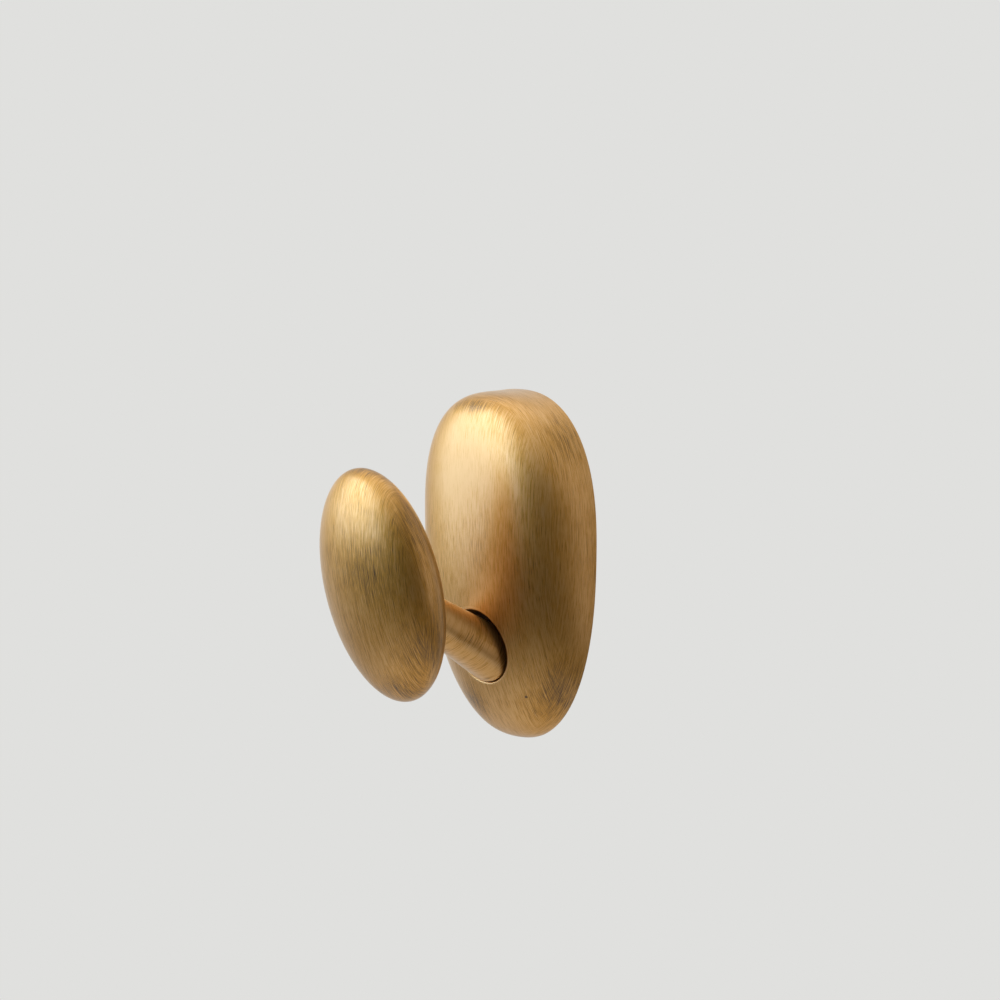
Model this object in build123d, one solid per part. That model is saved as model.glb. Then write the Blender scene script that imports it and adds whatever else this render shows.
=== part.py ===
"""A brass wall hook: a hollow pebble-shaped backplate, a rising arm set in a bore, and a leaning oval knob.

Millimetres. The wall is the plane Y = 0, the room is on the -Y side and +Z is up.
The origin is the middle of the backplate's height, on the wall.
"""
import os
from math import copysign, cos, hypot, pi, radians, sin, tan

from build123d import *

# Backplate, a hollow casting that is open at the wall
plate_height = 70.0
plate_width = 40.4
plate_depth = 15.0
plate_wall = 3.0
widest_level = 5.2  # the outline is widest this far above the middle
outline_squareness = 2.35  # 2 is an ellipse, more is squarer
flank_power = 1.49  # how late the outline shrinks on its way to the nose
nose_flatness = 3.66  # 2 is round, more is flatter with a rounder shoulder
nose_climb = 10.3  # the nose stands this far above the widest level
climb_power = 1.71  # how late the sections climb to the nose

# Arm, a turned sleeve on a rising axis; places along the axis count from the wall plane
arm_angle = 28.7
arm_foot_level = -21.7  # where the axis meets the wall
arm_foot_diameter = 11.3
arm_tip_diameter = 7.2
arm_foot_round = 1.3

# Bore in the backplate's front that the arm stands in, and the boss behind it
bore_gap = 1.1  # clearance around the arm's foot
bore_turn = 16.5  # the bore lies this much nearer to level than the arm
bore_meets = 14.1  # where its axis crosses the arm's
bore_edge_round = 0.4
seat_below_rim = 0.6  # the bore's floor lies this far under the lowest point of its rim
seat_floor = 1.25  # metal between the floor and the screw's head
boss_wall = 1.7  # metal around the bore
boss_wall_gap = 0.4  # the boss stays this far from the wall

# Knob, an ellipsoid that leans out from the wall
knob_width = 27.2
knob_thickness = 16.0
knob_height = 47.0
knob_lean = 15.0
knob_distance = 44.2  # its middle, along the arm's axis
socket_depth = 3.8  # the arm goes this far into the knob's back
socket_gap = 0.05  # clearance around the arm in the knob

# Countersunk screw from behind, through the arm into the knob
screw_diameter = 4.0
screw_head_diameter = 7.5
screw_head_land = 0.3
screw_grip = 10.5  # thread in the knob past the arm's tip
screw_socket = 2.5
screw_socket_depth = 1.3
screw_gap = 0.2
head_gap = 0.05
head_surround = 1.5  # metal around the head at the boss's end
thread_gap = 0.05
tapping_runout = 1.0  # the tapped hole runs this far past the screw

# Bracket that is screwed to the wall, inside the backplate
bracket_thickness = 3.0
bracket_gap = 0.4
bracket_boss_gap = 0.5  # left above the boss when the backplate is lifted off
wall_hole_diameter = 4.5
wall_hole_countersink = 8.0
wall_hole_spacing = 20.0
wall_hole_drop = 7.0  # the upper hole lies this far under the step

# Lip inside the top of the backplate, which hangs behind a step in the bracket's top edge
step_height = 2.0
step_depth = 1.5
lip_width = 12.0
lip_gap = 0.25

# Fineness of the lofted form
loft_sections = 10
outline_points = 24

bore_diameter = arm_foot_diameter + 2 * bore_gap
boss_radius = bore_diameter / 2 + boss_wall
lift = step_height + lip_gap  # the backplate comes off the bracket when raised this far
arm_rise = radians(arm_angle)
arm_frame = Plane(
    origin=(0, 0, arm_foot_level),
    x_dir=(1, 0, 0),
    z_dir=(0, -cos(arm_rise), sin(arm_rise)),
)
bore_rise = radians(arm_angle - bore_turn)
bore_frame = Plane(
    origin=arm_frame.from_local_coords(Vector(0, 0, bore_meets)),
    x_dir=(1, 0, 0),
    z_dir=(0, -cos(bore_rise), sin(bore_rise)),
)


def turned(points):
    """A solid turned about the local Z axis, from (radius, place) points."""
    profile = make_face(Plane.XZ * Polyline(*points, close=True))
    return revolve(profile, Axis.Z)


def pebble_outline(depth_share, inset):
    """A section of the pebble parallel to the wall, from 0 at the wall to 1 at the nose."""
    half_width = plate_width / 2 - inset
    upper = plate_height / 2 - widest_level - inset
    lower = plate_height / 2 + widest_level - inset
    shrink = (1 - depth_share**flank_power) ** (1 / nose_flatness)
    level = widest_level + nose_climb * depth_share**climb_power
    y = -(plate_depth - inset) * depth_share
    points = []
    for step in range(outline_points):
        angle = 2 * pi * step / outline_points
        across = copysign(abs(cos(angle)) ** (2 / outline_squareness), cos(angle))
        along = copysign(abs(sin(angle)) ** (2 / outline_squareness), sin(angle))
        reach = upper if along > 0 else lower
        points.append(Vector(half_width * shrink * across, y, level + reach * shrink * along))
    return Wire([Edge.make_spline(points, periodic=True)])


def pebble(inset):
    """The backplate's outer form, or the form of its hollow when inset by the wall."""
    sections = []
    for step in range(loft_sections):
        shrink = cos(pi / 2 * step / loft_sections)
        depth_share = (1 - shrink**nose_flatness) ** (1 / flank_power)
        sections.append(pebble_outline(depth_share, inset))
    nose = Vertex(0, inset - plate_depth, widest_level + nose_climb)
    return Solid.make_loft(sections + [nose])


def bore_mouth():
    """The lowest point of the bore's rim, as a place along the arm's axis."""
    radius = bore_diameter / 2
    lower_side = bore_frame * Line((0, -radius, -plate_depth), (0, -radius, plate_depth))
    inside = lower_side & pebble(0)
    return max(arm_frame.to_local_coords(end).Z for end in (inside @ 0, inside @ 1))


def knob_back():
    """Where the arm's axis enters the knob, as a place along that axis."""
    slant = radians(arm_angle + knob_lean)
    half_chord = hypot(2 * cos(slant) / knob_thickness, 2 * sin(slant) / knob_height) ** -1
    return knob_distance - half_chord


arm_seat = bore_mouth() - seat_below_rim
arm_tip = knob_back() + socket_depth
screw_cone = (screw_head_diameter - screw_diameter) / 2
screw_head_place = arm_seat - seat_floor - screw_cone - screw_head_land
screw_tip = arm_tip + screw_grip


def above_place(place):
    """A block that holds everything past a place along the arm's axis."""
    size = 4 * plate_height
    block = Box(size, size, size, align=(Align.CENTER, Align.CENTER, Align.MIN))
    return arm_frame * Pos(0, 0, place) * block


def bore_round(radius):
    """A long rod about the bore's axis."""
    return bore_frame * Cylinder(radius, 4 * plate_depth)


def room_side(gap):
    """A block that holds everything more than a gap away from the wall."""
    size = 4 * plate_height
    return Pos(0, -gap, 0) * Box(size, size, size, align=(Align.CENTER, Align.MAX, Align.CENTER))


def screw_hole():
    """The countersink and clearance hole for the screw, open towards the wall."""
    hole = screw_diameter / 2 + screw_gap
    head = screw_head_diameter / 2 + head_gap
    land = screw_head_place + screw_head_land
    return turned(
        [
            (0, -plate_depth),
            (head, -plate_depth),
            (head, land),
            (hole, land + head - hole),
            (hole, arm_tip),
            (0, arm_tip),
        ]
    )


def boss():
    """The thick place around the bore and behind its floor, narrowed towards the screw's head."""
    around = bore_round(boss_radius) & above_place(arm_seat - seat_floor)
    end_radius = screw_head_diameter / 2 + head_surround
    behind = turned(
        [
            (0, screw_head_place),
            (end_radius, screw_head_place),
            (boss_radius, arm_seat - seat_floor),
            (boss_radius, arm_seat),
            (0, arm_seat),
        ]
    )
    return (around + arm_frame * behind) & room_side(boss_wall_gap)


def bracket_sheet():
    """The bracket's plain sheet, which fits the hollow and can be lifted out of it."""
    inset = plate_wall + bracket_gap
    depth_share = bracket_thickness / (plate_depth - inset)
    front = Face(pebble_outline(depth_share, inset))
    sheet = extrude(front, bracket_thickness, dir=(0, 1, 0))
    return sheet & Pos(0, 0, lift) * sheet


def step_level():
    """The height of the step in the bracket's top edge that carries the lip."""
    return bracket_sheet().bounding_box().max.Z - step_height


def lip():
    """The ledge inside the top of the backplate, behind the bracket's top edge."""
    bottom = step_level()
    block = Box(
        lip_width,
        step_depth - 2 * lip_gap,
        plate_height / 2 - plate_wall / 2 - bottom,
        align=(Align.CENTER, Align.MAX, Align.MIN),
    )
    return Pos(0, -lip_gap, bottom) * block


def bore_rim(body):
    """The edge where the bore leaves the backplate's front."""
    rim = []
    for edge in body.edges():
        place = bore_frame.to_local_coords(edge @ 0.25)
        off_wall = abs(hypot(place.X, place.Y) - bore_diameter / 2)
        above_floor = arm_frame.to_local_coords(edge @ 0.25).Z - arm_seat
        if off_wall < 0.01 and above_floor > seat_below_rim / 2 and edge.geom_type != GeomType.LINE:
            rim.append(edge)
    return rim


def backplate():
    hollow = pebble(plate_wall)
    hollow -= boss()
    hollow -= lip()
    body = pebble(0) - hollow
    body -= bore_round(bore_diameter / 2) & above_place(arm_seat)
    body -= arm_frame * screw_hole()
    return fillet(bore_rim(body), bore_edge_round)


def arm_body(gap):
    """The arm's tapered outside, grown by a gap."""
    foot = arm_foot_diameter / 2 + gap
    tip = arm_tip_diameter / 2 + gap
    return turned([(0, arm_seat), (foot, arm_seat), (tip, arm_tip), (0, arm_tip)])


def arm():
    body = arm_body(0)
    foot_edge = body.edges().group_by(Axis.Z)[0]
    body = fillet(foot_edge, arm_foot_round)
    body -= Cylinder(screw_diameter / 2 + screw_gap, 4 * arm_tip)
    return arm_frame * body


def knob():
    lean = radians(knob_lean)
    middle = arm_frame.from_local_coords(Vector(0, 0, knob_distance))
    frame = Plane(origin=middle, x_dir=(1, 0, 0), z_dir=(0, -sin(lean), cos(lean)))
    body = frame * scale(Sphere(0.5), by=(knob_width, knob_thickness, knob_height))
    body -= arm_frame * arm_body(socket_gap)
    thread = Cylinder(
        screw_diameter / 2 + thread_gap,
        screw_tip + tapping_runout,
        align=(Align.CENTER, Align.CENTER, Align.MIN),
    )
    return body - arm_frame * thread


def arm_screw():
    shank = screw_diameter / 2
    head = screw_head_diameter / 2
    land = screw_head_place + screw_head_land
    body = turned(
        [
            (0, screw_head_place),
            (head, screw_head_place),
            (head, land),
            (shank, land + screw_cone),
            (shank, screw_tip - shank / 2),
            (shank / 2, screw_tip),
            (0, screw_tip),
        ]
    )
    socket = extrude(RegularPolygon(screw_socket / 2, 6, major_radius=False), screw_socket_depth)
    body -= Pos(0, 0, screw_head_place) * socket
    return arm_frame * body


def wall_frame(level):
    """A place on the wall at the middle of the bracket's width, looking into the room."""
    return Plane(origin=(0, 0, level), x_dir=(1, 0, 0), z_dir=(0, -1, 0))


def bracket_bottom():
    """The bracket ends above the boss, with room to lift the backplate off."""
    bore_level = bore_frame.origin.Z + bore_frame.origin.Y * tan(bore_rise)
    boss_top = bore_level + bracket_thickness * tan(bore_rise) + boss_radius / cos(bore_rise)
    return boss_top + lift + bracket_boss_gap


def wall_hole():
    """One countersunk hole for a wall screw."""
    hole = wall_hole_diameter / 2
    head = wall_hole_countersink / 2
    return turned(
        [
            (0, -bracket_thickness),
            (hole, -bracket_thickness),
            (hole, bracket_thickness - head + hole),
            (head, bracket_thickness),
            (head, 2 * bracket_thickness),
            (0, 2 * bracket_thickness),
        ]
    )


def wall_bracket():
    body = bracket_sheet()
    for hole in range(2):
        body -= wall_frame(step_level() - wall_hole_drop - hole * wall_hole_spacing) * wall_hole()
    step = Box(
        plate_width,
        2 * step_depth,
        plate_height,
        align=(Align.CENTER, Align.CENTER, Align.MIN),
    )
    body -= Pos(0, 0, step_level()) * step
    below = Box(
        plate_width,
        plate_depth,
        plate_height,
        align=(Align.CENTER, Align.CENTER, Align.MAX),
    )
    return body - Pos(0, 0, bracket_bottom()) * below


pieces = {
    "backplate": backplate,
    "arm": arm,
    "knob": knob,
    "arm_screw": arm_screw,
    "wall_bracket": wall_bracket,
}

os.makedirs("parts", exist_ok=True)
for name, build in pieces.items():
    export_step(build(), f"parts/{name}.step")
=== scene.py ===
"""Looks of the wall hook: antiqued and hand-brushed brass over a zinc-plated bracket and screw.

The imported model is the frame, in metres: the wall is the plane Y = 0, the room is on the -Y side, +Z is up.
Sizes of patterns and marks are written in millimetres and multiplied by mm.
"""
from math import cos, pi, radians, sin

import bmesh
import bpy
from mathutils import Matrix, Vector

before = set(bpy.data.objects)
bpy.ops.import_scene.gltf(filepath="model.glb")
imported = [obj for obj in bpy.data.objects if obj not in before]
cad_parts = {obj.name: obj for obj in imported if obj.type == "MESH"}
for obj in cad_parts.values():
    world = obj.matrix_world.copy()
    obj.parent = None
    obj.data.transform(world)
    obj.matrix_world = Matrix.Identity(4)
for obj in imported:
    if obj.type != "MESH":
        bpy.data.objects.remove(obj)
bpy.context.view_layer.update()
mm = 0.001

# View of the photograph: degrees round the hook from its front, and up
view_azimuth = 42.0
view_elevation = 6.0
view_distance = 518.7 * mm
view_lens = 93.6  # the lens and the sensor in the camera's own millimetres
view_sensor = 36.0
view_clip = 10.0 * mm
view_level = 5.5 * mm  # the view turns about this level of the plate
view_right = -3.78 * mm  # the frame's middle, to the right of the hook and above it
view_up = 7.31 * mm

# Directions and places of the pieces, as the solids have them
arm_rise = radians(28.7)
arm_direction = (0.0, -cos(arm_rise), sin(arm_rise))
bore_rise = radians(12.2)
bore_middle = (0.0, -12.37 * mm, -14.93 * mm)
bore_radius = 6.75 * mm
bore_back = -4.4 * mm  # between the bore's floor and the back of the boss, along the arm's direction
knob_lean = radians(15.0)
plate_upright = (0.0, 0.0, 1.0)
knob_upright = (0.0, -sin(knob_lean), cos(knob_lean))

# Brass, from 0 where it is rubbed bright to 1 where the bath's brown is left
rubbed_colour = "#DDAF6D"
brass_colour = "#CB953A"
brown_colour = "#523C29"
brass_place = 0.35  # how dark the plain brass between the two is
rubbed_roughness = 0.48
brown_roughness = 0.57
brushed_stretch = 0.3  # how far the lines draw out a highlight
lacquer_roughness = 0.3
hair_relief = 0.6  # share of the hairlines' depth that shows

# Mean darkness of each brass piece, and how far each pattern parts from it
plate_tone = 0.2
plate_contrast = 2.7
arm_tone = 0.02
arm_contrast = 3.0
knob_tone = 0.28
knob_contrast = 2.6
band_contrast = 0.35
cloud_contrast = 0.4
hollow_tone = 0.45  # added inside the plate, where no brush went

# Brush lines; a real line is about 0.05 mm wide, drawn coarser here so that it shows
hair_width = 0.11 * mm
arm_hair_width = 0.24 * mm
hair_length = 3.6 * mm
hair_depth = 0.012 * mm
band_width = 1.6 * mm
band_length = 14.0 * mm
cloud_size = 11.0 * mm
front_facing = -0.75  # up to this facing, only the front's lines show
flank_facing = -0.45  # and from this one on, only the flanks' lines
knob_facing = 1.35  # makes a facing from the knob's turn to the side, where front and back are alike

# The skin of the casting, left inside the plate
cast_grain = 0.6 * mm
cast_low = 0.38
cast_high = 0.62
hollow_start = 0.02  # the skin goes over from brushed to cast where the plate turns to face the wall
hollow_full = 0.1

# Zinc on rolled steel; the rollers' lines are drawn coarser than they are, so that they show
zinc_dark = "#A3A8AC"
zinc_pale = "#D6D6D1"
zinc_smooth = 0.25
zinc_rough = 0.5
roll_width = 0.3 * mm
roll_length = 9.0 * mm
roll_depth = 0.01 * mm
roll_relief = 0.4  # share of that depth that shows

# Marks that the brush and the years left, and painted highlights: middle and reach in millimetres, and how
# dark, or bright below 0
plate_stains_and_highlight = [
    ((-1.0, -12.6, 32.4), (9.0, 4.0, 2.6), 0.4),  # on the shoulder at the top
    ((15.4, -4.0, 25.9), (6.0, 7.0, 10.0), 0.28),  # on the flank at the upper right
    ((-5.5, -7.0, -27.5), (6.0, 6.0, 7.0), 0.45),  # low on the left
    ((14.0, -3.5, -24.0), (9.0, 8.0, 13.0), 0.45),  # low on the right
    ((-2.0, -15.0, 20.0), (16.0, 8.0, 16.0), -0.3),  # painted highlight, high on the front
]
knob_stains_and_highlight = [
    ((4.0, -37.2, -19.9), (8.0, 6.0, 6.0), 0.35),  # at the bottom
    ((4.2, -47.6, 3.5), (12.0, 6.0, 9.0), 0.32),  # across the middle
    ((1.5, -44.8, 22.3), (8.0, 5.0, 2.5), 0.4),  # at the top
    ((10.5, -41.0, 13.0), (6.0, 8.0, 12.0), 0.3),  # on the right, towards the top
    ((10.0, -38.0, -9.0), (7.0, 8.0, 12.0), 0.3),  # on the right, towards the bottom
    ((-8.0, -45.0, 15.0), (8.0, 8.0, 12.0), -0.3),  # painted highlight, on the left towards the top
]
arm_stains = [
    ((4.5, -18.5, -12.3), (4.0, 9.0, 2.6), 0.28),  # along the side
    ((3.6, -15.0, -9.5), (4.0, 6.0, 2.6), 0.22),  # on top, near the bore
]
pit_place = (8.4, -7.3, -24.9)  # a casting pit under the bore
pit_reach = (0.45, 0.45, 0.45)

# Rings about the bore: millimetres outside it at which a ring ends and is full, and how dark
bore_shade_and_rim_rings = [
    (0.2, 0.05, 1.0),  # the bath's brown left inside, darkened to full as painted shade in the bore
    (0.75, 0.5, -0.4),  # rubbed bare around the rim
]

# Lamps: degrees to the right of the view and up, width and height in metres, brightness and tint
lamps = [
    ("key", -68, 20, 1.2, 1.0, 3.2, "#C6DFFF"),  # large and cool, on the left
    ("overhead", -16, 69, 1.6, 2.2, 0.65, "#FFFFFF"),  # broad and soft
    ("fill", 66, 2, 0.35, 1.0, 0.75, "#FFF0DC"),  # a warm strip on the right
]
lamp_reach = 0.9  # metres from the hook to each lamp

# Studio, in metres
floor_level = -0.5
floor_radius = 0.5
floor_near = 0.15  # the floor goes over into the backdrop from this far out to its edge
floor_sides = 96
paper_colour = "#CFC1A8"
paper_roughness = 0.9
backdrop_colour = "#E0E0DE"

# The room that the metal shows: degrees to the right of the view and up to where it is dimmest
room_turn = 10
room_rise = -33
room_colour = "#271D0D"
room_pale = -0.7  # cosines of the angles from there at which the room is palest and dimmest
room_dim = 0.75
room_least = 0.05  # how dim it is at its palest


def hex_colour(code):
    """A linear colour from its sRGB hex value."""
    channels = []
    for start in (1, 3, 5):
        share = int(code[start:start + 2], 16) / 255
        channels.append(share / 12.92 if share <= 0.04045 else ((share + 0.055) / 1.055) ** 2.4)
    return (*channels, 1.0)


def add_node(tree, kind, sockets=None, **settings):
    """Adds a node with its settings, and fills or links its input sockets."""
    node = tree.nodes.new(kind)
    for name, value in settings.items():
        setattr(node, name, value)
    for name, value in (sockets or {}).items():
        if isinstance(value, bpy.types.NodeSocket):
            tree.links.new(value, node.inputs[name])
        else:
            node.inputs[name].default_value = value
    return node


def new_material(name):
    """An empty material and its node tree."""
    material = bpy.data.materials.new(name)
    material.use_nodes = True
    material.node_tree.nodes.clear()
    return material, material.node_tree


def round_the_view(turn, rise):
    """A direction that lies this many degrees to the right of the photograph's view, and up."""
    azimuth = radians(view_azimuth + turn)
    level = cos(radians(rise))
    return Vector((level * sin(azimuth), -level * cos(azimuth), sin(radians(rise))))


def stain(tree, place, middle, size):
    """1 in the middle of a soft oval stain, 0 outside it; middle and size in millimetres."""
    inside = add_node(
        tree, "ShaderNodeMapping",
        {"Vector": place, "Location": Vector(middle) * mm, "Scale": Vector(size) * mm},
        vector_type="TEXTURE",
    )
    away = add_node(tree, "ShaderNodeVectorMath", {0: inside.outputs[0]}, operation="LENGTH")
    return add_node(
        tree, "ShaderNodeMapRange",
        {"Value": away.outputs["Value"], "From Min": 1.0, "From Max": 0.0},
        interpolation_type="SMOOTHSTEP",
    ).outputs[0]


def lines(tree, place, lean, grain):
    """Noise drawn out into lines: grain is its size along X, Y and Z, after leaning about X."""
    drawn = add_node(
        tree, "ShaderNodeMapping",
        {"Vector": place, "Rotation": (lean, 0, 0), "Scale": grain},
        vector_type="TEXTURE",
    )
    return add_node(
        tree, "ShaderNodeTexNoise",
        {"Vector": drawn.outputs[0], "Scale": 1.0, "Detail": 4.0, "Roughness": 0.7},
    ).outputs["Fac"]


def wrapped_lines(tree, place, facing, lean, width, length):
    """Upright lines: one set where facing nears -1, on the front, and one where it nears 0, on the flanks."""
    front = add_node(
        tree, "ShaderNodeMapRange",
        {"Value": facing, "From Min": flank_facing, "From Max": front_facing},
        interpolation_type="SMOOTHSTEP",
    ).outputs[0]
    flank_lines = lines(tree, place, lean, (length, width, length))
    front_lines = lines(tree, place, lean, (width, length, length))
    return add_node(
        tree, "ShaderNodeMix", {"Factor": front, "A": flank_lines, "B": front_lines}
    ).outputs["Result"]


def tarnish_and_painted_highlight(tree, place, hairs, bands, stains, tone, contrast):
    """How dark the brass is, from 0 where it is rubbed bright to 1 where the bath's brown is left; a stain of
    strength below 0 is a painted highlight.

    Tone is its mean, and contrast is how far the hairlines part from it.
    """
    clouds = add_node(
        tree, "ShaderNodeTexNoise",
        {"Vector": place, "Scale": 1 / cloud_size, "Detail": 4.0, "Roughness": 0.6},
    ).outputs["Fac"]
    weights = ((hairs, contrast), (bands, band_contrast), (clouds, cloud_contrast))
    dark = tone - sum(strength for pattern, strength in weights) / 2
    for pattern, strength in weights:
        dark = add_node(
            tree, "ShaderNodeMath", {0: pattern, 1: strength, 2: dark}, operation="MULTIPLY_ADD"
        ).outputs[0]
    for middle, reach, strength in stains:
        soft = stain(tree, place, middle, reach)
        broken = add_node(tree, "ShaderNodeMath", {0: soft, 1: hairs}, operation="MULTIPLY").outputs[0]
        dark = add_node(
            tree, "ShaderNodeMath", {0: broken, 1: 2 * strength, 2: dark}, operation="MULTIPLY_ADD"
        ).outputs[0]
    return dark


def brushed_brass(tree, dark, relief, along):
    """Cast brass, darkened in a bath, brushed by hand until the metal shows, and lacquered matt.

    It gives the eye soft highlights, drawn out across the lines that run along a direction, hairlines of
    bright metal between brown ones, and cloudy stains where the brush went over lightly.
    """
    normal = add_node(tree, "ShaderNodeNewGeometry").outputs["Normal"]
    across = add_node(tree, "ShaderNodeVectorMath", {0: normal, 1: along}, operation="CROSS_PRODUCT")
    colour = add_node(tree, "ShaderNodeValToRGB", {"Fac": dark})
    ramp = colour.color_ramp
    ramp.elements[0].color = hex_colour(rubbed_colour)
    ramp.elements[1].color = hex_colour(brown_colour)
    ramp.elements.new(brass_place).color = hex_colour(brass_colour)
    rough = add_node(
        tree, "ShaderNodeMapRange", {"Value": dark, "To Min": rubbed_roughness, "To Max": brown_roughness}
    )
    bump = add_node(
        tree, "ShaderNodeBump", {"Height": relief, "Strength": hair_relief, "Distance": hair_depth}
    )
    surface = add_node(
        tree, "ShaderNodeBsdfPrincipled",
        {
            "Base Color": colour.outputs[0],
            "Metallic": 1.0,
            "Roughness": rough.outputs[0],
            "Normal": bump.outputs[0],
            "Anisotropic": brushed_stretch,
            "Tangent": across.outputs["Vector"],
            "Coat Weight": 1.0,
            "Coat Roughness": lacquer_roughness,
        },
    )
    add_node(tree, "ShaderNodeOutputMaterial", {"Surface": surface.outputs[0]})


def bore_shade_and_marks(tree, place, dark):
    """Leaves the bath's brown inside the bore, darkened to full as painted shade, and rubs the rim around it
    bare.
    """
    about = add_node(
        tree, "ShaderNodeMapping",
        {"Vector": place, "Location": bore_middle, "Rotation": (-bore_rise, 0, 0)},
        vector_type="TEXTURE",
    )
    flat = add_node(tree, "ShaderNodeVectorMath", {0: about.outputs[0], 1: (1, 0, 1)}, operation="MULTIPLY")
    away = add_node(tree, "ShaderNodeVectorMath", {0: flat.outputs[0]}, operation="LENGTH").outputs["Value"]
    along_arm = add_node(
        tree, "ShaderNodeVectorMath", {0: place, 1: arm_direction}, operation="DOT_PRODUCT"
    ).outputs["Value"]
    front = add_node(
        tree, "ShaderNodeMath", {0: along_arm, 1: bore_back}, operation="GREATER_THAN"
    ).outputs[0]
    for end, full, strength in bore_shade_and_rim_rings:
        ring = add_node(
            tree, "ShaderNodeMapRange",
            {
                "Value": away,
                "From Min": bore_radius + end * mm,
                "From Max": bore_radius + full * mm,
                "To Max": strength,
            },
        ).outputs[0]
        dark = add_node(
            tree, "ShaderNodeMath", {0: ring, 1: front, 2: dark}, operation="MULTIPLY_ADD"
        ).outputs[0]
    return dark


def plate_brass():
    """The plate's brass: brushed outside, with a painted highlight high on the front, bare at the bore's rim,
    with painted shade in the bore, pitted once, and left as cast inside.
    """
    material, tree = new_material("plate_brushed_brass")
    coordinates = add_node(tree, "ShaderNodeTexCoord").outputs
    place = coordinates["Object"]
    facing = add_node(tree, "ShaderNodeSeparateXYZ", {0: coordinates["Normal"]}).outputs["Y"]
    hairs = wrapped_lines(tree, place, facing, 0, hair_width, hair_length)
    bands = wrapped_lines(tree, place, facing, 0, band_width, band_length)
    hollow = add_node(
        tree, "ShaderNodeMapRange", {"Value": facing, "From Min": hollow_start, "From Max": hollow_full}
    ).outputs[0]
    grain = add_node(
        tree, "ShaderNodeTexNoise", {"Vector": place, "Scale": 1 / cast_grain, "Detail": 3.0}
    ).outputs["Fac"]
    sand = add_node(
        tree, "ShaderNodeMapRange", {"Value": grain, "To Min": cast_low, "To Max": cast_high}
    ).outputs[0]
    skin = add_node(tree, "ShaderNodeMix", {"Factor": hollow, "A": hairs, "B": sand}).outputs["Result"]
    # the plate's stains include a painted highlight high on the front
    dark = tarnish_and_painted_highlight(tree, place, skin, bands, plate_stains_and_highlight, plate_tone, plate_contrast)
    # painted shade: the inside of the bore is darkened to full, over the bath's brown
    dark = bore_shade_and_marks(tree, place, dark)
    pit = stain(tree, place, pit_place, pit_reach)
    dark = add_node(tree, "ShaderNodeMath", {0: dark, 1: pit}).outputs[0]
    dark = add_node(
        tree, "ShaderNodeMath", {0: hollow, 1: hollow_tone, 2: dark}, operation="MULTIPLY_ADD"
    ).outputs[0]
    sunk = add_node(tree, "ShaderNodeMath", {0: skin, 1: pit}, operation="SUBTRACT").outputs[0]
    brushed_brass(tree, dark, sunk, plate_upright)
    return material


def arm_brass():
    """The arm's brass, brushed round on the lathe."""
    material, tree = new_material("arm_brushed_brass")
    coordinates = add_node(tree, "ShaderNodeTexCoord").outputs
    place = coordinates["Object"]
    hairs = lines(tree, place, -arm_rise, (hair_length, arm_hair_width, hair_length))
    bands = lines(tree, place, -arm_rise, (band_length, band_width, band_length))
    around = add_node(
        tree, "ShaderNodeVectorMath",
        {0: coordinates["Normal"], 1: arm_direction},
        operation="CROSS_PRODUCT",
    ).outputs["Vector"]
    dark = tarnish_and_painted_highlight(tree, place, hairs, bands, arm_stains, arm_tone, arm_contrast)
    brushed_brass(tree, dark, hairs, around)
    return material


def knob_brass():
    """The knob's brass, brushed along its length, with a painted highlight on its upper left."""
    material, tree = new_material("knob_brushed_brass")
    coordinates = add_node(tree, "ShaderNodeTexCoord").outputs
    place = coordinates["Object"]
    side = add_node(tree, "ShaderNodeSeparateXYZ", {0: coordinates["Normal"]}).outputs["X"]
    turn = add_node(tree, "ShaderNodeMath", {0: side}, operation="ABSOLUTE").outputs[0]
    facing = add_node(tree, "ShaderNodeMath", {0: turn, 1: knob_facing}, operation="SUBTRACT").outputs[0]
    hairs = wrapped_lines(tree, place, facing, knob_lean, hair_width, hair_length)
    bands = wrapped_lines(tree, place, facing, knob_lean, band_width, band_length)
    # the knob's stains include a painted highlight on its upper left
    dark = tarnish_and_painted_highlight(tree, place, hairs, bands, knob_stains_and_highlight, knob_tone, knob_contrast)
    brushed_brass(tree, dark, hairs, knob_upright)
    return material


def zinc_plated_steel():
    """Rolled steel with a thin zinc plating.

    It gives the eye a cool grey sheen, clouded by the bath, with faint lines from the rollers.
    """
    material, tree = new_material("zinc_plated_steel")
    place = add_node(tree, "ShaderNodeTexCoord").outputs["Object"]
    clouds = add_node(
        tree, "ShaderNodeTexNoise", {"Vector": place, "Scale": 1 / cloud_size, "Detail": 6.0}
    ).outputs["Fac"]
    colour = add_node(tree, "ShaderNodeValToRGB", {"Fac": clouds})
    colour.color_ramp.elements[0].color = hex_colour(zinc_dark)
    colour.color_ramp.elements[1].color = hex_colour(zinc_pale)
    rolled = lines(tree, place, 0, (roll_width, roll_width, roll_length))
    rough = add_node(
        tree, "ShaderNodeMapRange", {"Value": rolled, "To Min": zinc_smooth, "To Max": zinc_rough}
    )
    bump = add_node(
        tree, "ShaderNodeBump", {"Height": rolled, "Strength": roll_relief, "Distance": roll_depth}
    )
    surface = add_node(
        tree, "ShaderNodeBsdfPrincipled",
        {
            "Base Color": colour.outputs[0],
            "Metallic": 1.0,
            "Roughness": rough.outputs[0],
            "Normal": bump.outputs[0],
        },
    )
    add_node(tree, "ShaderNodeOutputMaterial", {"Surface": surface.outputs[0]})
    return material


def dress(node, material):
    """Gives a node of the frame its material."""
    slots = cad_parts[node].data.materials
    slots.clear()
    slots.append(material)


def softbox(name, turn, rise, width, height, brightness, tint):
    """A rectangular lamp that faces the hook; a brightness of 1 looks white."""
    lamp = bpy.data.lights.new(name, "AREA")
    lamp.shape = "RECTANGLE"
    lamp.size = width
    lamp.size_y = height
    lamp.energy = brightness * pi * width * height
    lamp.color = hex_colour(tint)[:3]
    stand = bpy.data.objects.new(name, lamp)
    direction = round_the_view(turn, rise)
    stand.location = direction * lamp_reach
    stand.rotation_euler = direction.to_track_quat("Z", "Y").to_euler()
    bpy.context.scene.collection.objects.link(stand)


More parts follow.
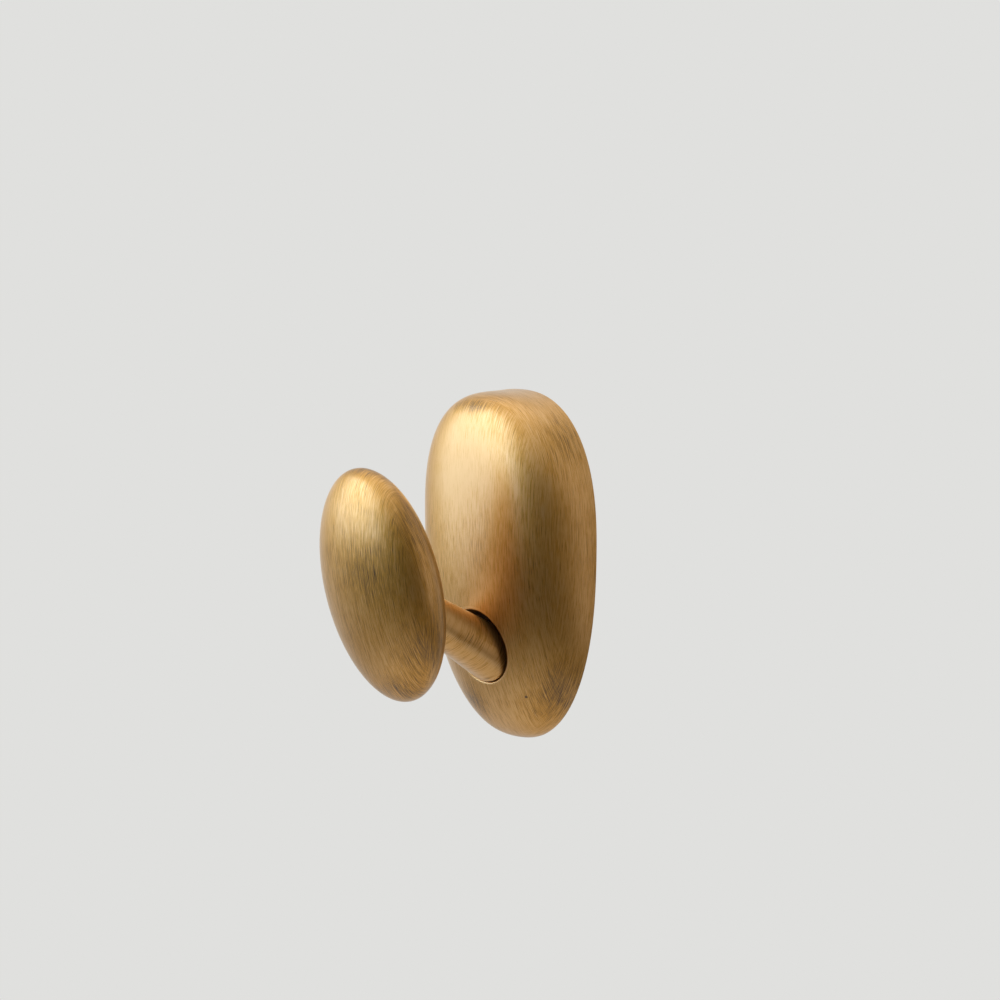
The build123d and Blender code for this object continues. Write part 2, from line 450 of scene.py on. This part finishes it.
def studio_world():
    """A pale backdrop all round; in the metal, the room on the photographer's side is dim."""
    world = bpy.data.worlds.new("studio")
    bpy.context.scene.world = world
    world.use_nodes = True
    tree = world.node_tree
    tree.nodes.clear()
    rays = add_node(tree, "ShaderNodeLightPath").outputs
    direction = add_node(tree, "ShaderNodeTexCoord").outputs["Generated"]
    towards = add_node(
        tree, "ShaderNodeVectorMath",
        {0: direction, 1: round_the_view(room_turn, room_rise)},
        operation="DOT_PRODUCT",
    ).outputs["Value"]
    room = add_node(
        tree, "ShaderNodeMapRange",
        {"Value": towards, "From Min": room_pale, "From Max": room_dim, "To Min": room_least},
    ).outputs[0]
    unseen = add_node(
        tree, "ShaderNodeMath", {0: 1.0, 1: rays["Is Camera Ray"]}, operation="SUBTRACT"
    ).outputs[0]
    dim = add_node(tree, "ShaderNodeMath", {0: room, 1: unseen}, operation="MULTIPLY").outputs[0]
    colour = add_node(
        tree, "ShaderNodeMix",
        {"Factor": dim, "A": hex_colour(backdrop_colour), "B": hex_colour(room_colour)},
        data_type="RGBA",
    )
    background = add_node(tree, "ShaderNodeBackground", {"Color": colour.outputs["Result"]})
    add_node(tree, "ShaderNodeOutputWorld", {"Surface": background.outputs[0]})


def studio_paper():
    """Matt pale paper on the floor: it keeps the hook's shadow, and further off it is the backdrop."""
    material, tree = new_material("matt_studio_paper")
    place = add_node(tree, "ShaderNodeTexCoord").outputs["Object"]
    away = add_node(tree, "ShaderNodeVectorMath", {0: place}, operation="LENGTH").outputs["Value"]
    far = add_node(
        tree, "ShaderNodeMapRange",
        {"Value": away, "From Min": floor_near, "From Max": floor_radius},
        interpolation_type="SMOOTHSTEP",
    ).outputs[0]
    rays = add_node(tree, "ShaderNodeLightPath").outputs
    seen = rays["Is Camera Ray"]
    for kind in ("Is Glossy Ray", "Is Transmission Ray"):
        seen = add_node(tree, "ShaderNodeMath", {0: seen, 1: rays[kind]}, operation="MAXIMUM").outputs[0]
    share = add_node(tree, "ShaderNodeMath", {0: far, 1: seen}, operation="MULTIPLY").outputs[0]
    paper = add_node(
        tree, "ShaderNodeBsdfPrincipled",
        {"Base Color": hex_colour(paper_colour), "Roughness": paper_roughness},
    )
    backdrop = add_node(tree, "ShaderNodeEmission", {"Color": hex_colour(backdrop_colour)})
    mix = add_node(tree, "ShaderNodeMixShader", {0: share, 1: paper.outputs[0], 2: backdrop.outputs[0]})
    add_node(tree, "ShaderNodeOutputMaterial", {"Surface": mix.outputs[0]})
    return material


def studio_floor():
    """A round of paper under the hook."""
    mesh = bpy.data.meshes.new("floor")
    shape = bmesh.new()
    bmesh.ops.create_circle(shape, cap_ends=True, segments=floor_sides, radius=floor_radius)
    shape.to_mesh(mesh)
    shape.free()
    mesh.materials.append(studio_paper())
    floor = bpy.data.objects.new("floor", mesh)
    floor.location.z = floor_level
    bpy.context.scene.collection.objects.link(floor)


def studio_camera():
    """The photograph's camera, which has the hook a little off the middle of its frame."""
    camera = bpy.data.cameras.new("camera")
    camera.lens = view_lens
    camera.sensor_width = view_sensor
    camera.clip_start = view_clip
    back = round_the_view(0, view_elevation)
    right = Vector((0, 0, 1)).cross(back).normalized()
    up = back.cross(right)
    stand = bpy.data.objects.new("camera", camera)
    turned = Matrix((right, up, back)).transposed().to_4x4()
    middle = Vector((0, 0, view_level)) + view_right * right + view_up * up
    stand.matrix_world = Matrix.Translation(middle + view_distance * back) @ turned
    bpy.context.scene.collection.objects.link(stand)
    bpy.context.scene.camera = stand


dress("backplate", plate_brass())
dress("arm", arm_brass())
dress("knob", knob_brass())
steel = zinc_plated_steel()
dress("arm_screw", steel)
dress("wall_bracket", steel)

for lamp in lamps:
    softbox(*lamp)
studio_floor()
studio_world()
studio_camera()
bpy.context.scene.view_settings.view_transform = "Standard"
